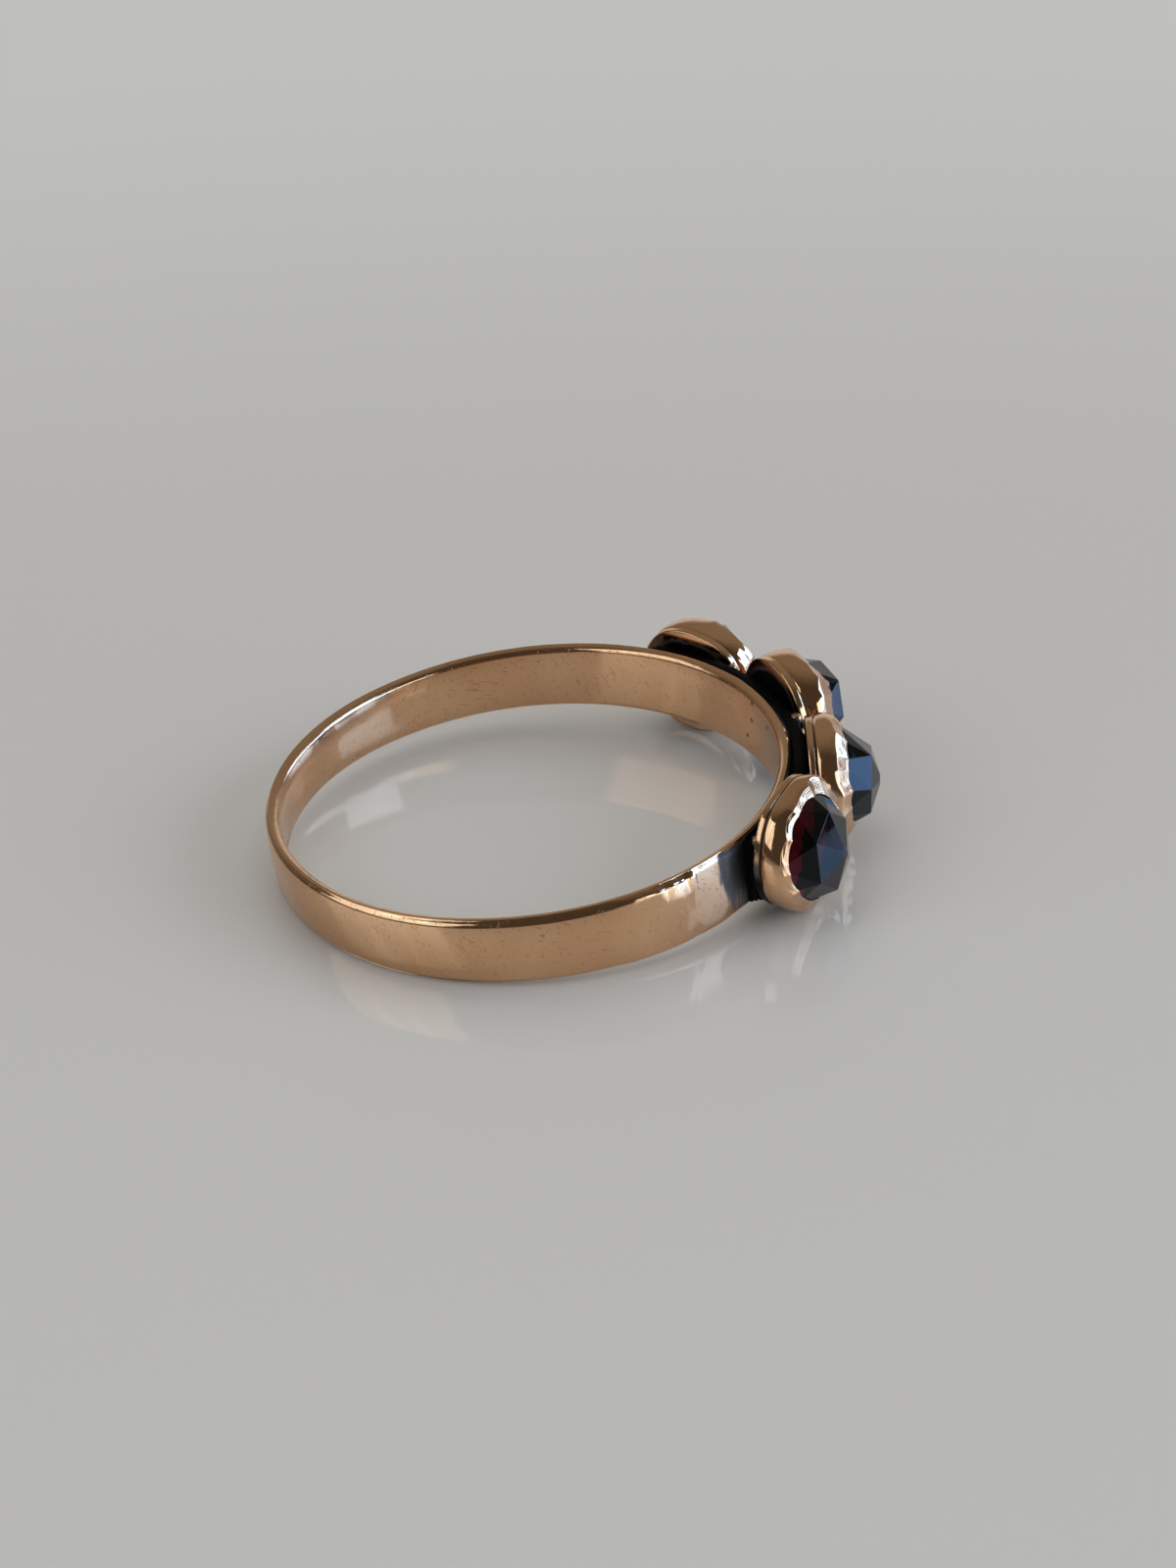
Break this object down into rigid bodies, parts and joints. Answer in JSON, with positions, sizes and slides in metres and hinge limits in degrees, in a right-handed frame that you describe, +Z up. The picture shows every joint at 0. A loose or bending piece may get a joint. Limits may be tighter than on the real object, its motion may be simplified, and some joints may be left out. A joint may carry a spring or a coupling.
{
  "type": "garnet ring",
  "caption": "Thin flat-band finger ring with round rose-cut red stones in a row of closed-back, rubbed-over collets, lying on its side.",
  "frame": {"origin": "middle of the ring's footprint box on the surface it lies on", "axes": "+Z up from the surface, -Y towards the stones, +X along the row from the first garnet to the fourth; the finger hole's axis leans about 3.6 degrees from +Z because the ring rests on two collets and the back of the band"},
  "size_m": [0.0186, 0.0213, 0.0047],
  "materials": {
    "rose_gold": "polished rose gold, lightly worn, dark tarnish in the joints",
    "garnet": "polished near-black red cut stone"
  },
  "bodies": {
    "root": {"ring_metal": "rose_gold", "garnet_1": "garnet", "garnet_2": "garnet", "garnet_3": "garnet", "garnet_4": "garnet"}
  },
  "joints": []
}
